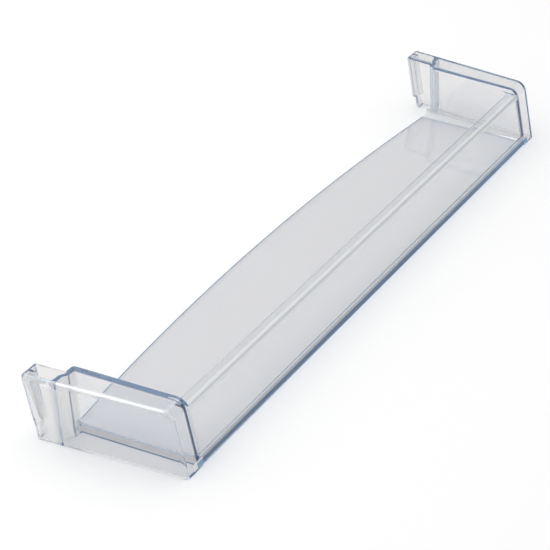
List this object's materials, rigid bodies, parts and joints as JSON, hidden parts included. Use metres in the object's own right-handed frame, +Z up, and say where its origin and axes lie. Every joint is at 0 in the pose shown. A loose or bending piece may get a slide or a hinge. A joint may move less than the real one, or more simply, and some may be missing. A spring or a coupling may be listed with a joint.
{
  "type": "fridge door shelf",
  "caption": "Clear moulded door shelf with a low front wall, a bowed open back and hollow ends that drop over ribs on the door's liner.",
  "frame": {"origin": "on the table under the middle of the shelf's box", "axes": "+X along the shelf's length, -Y towards the front wall, +Y towards the open bowed back, +Z up"},
  "size_m": [0.5016, 0.1046, 0.0423],
  "materials": {
    "clear_plastic": "clear polished moulding with a faint blue tint that is dark blue in the cut edges"
  },
  "bodies": {
    "root": {"door_shelf": "clear_plastic"}
  },
  "joints": []
}
